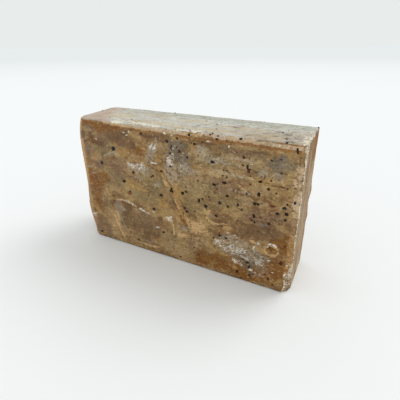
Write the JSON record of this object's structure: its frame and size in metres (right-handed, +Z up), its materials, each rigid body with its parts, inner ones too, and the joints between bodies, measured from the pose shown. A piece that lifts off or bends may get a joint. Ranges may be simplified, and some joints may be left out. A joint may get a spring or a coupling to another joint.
{
  "type": "bar of soap",
  "caption": "Rectangular bar of speckled handmade soap with one moulded, rounded end and one sawn end, standing on its long narrow side.",
  "frame": {"origin": "middle of the long narrow face that the bar stands on", "axes": "+X along the bar from the moulded end to the sawn end, +Y through its thickness from the speckled front to the back, +Z up"},
  "size_m": [0.095, 0.024, 0.055],
  "materials": {
    "soap": "satin"
  },
  "bodies": {
    "root": {"soap_bar": "soap"}
  },
  "joints": []
}
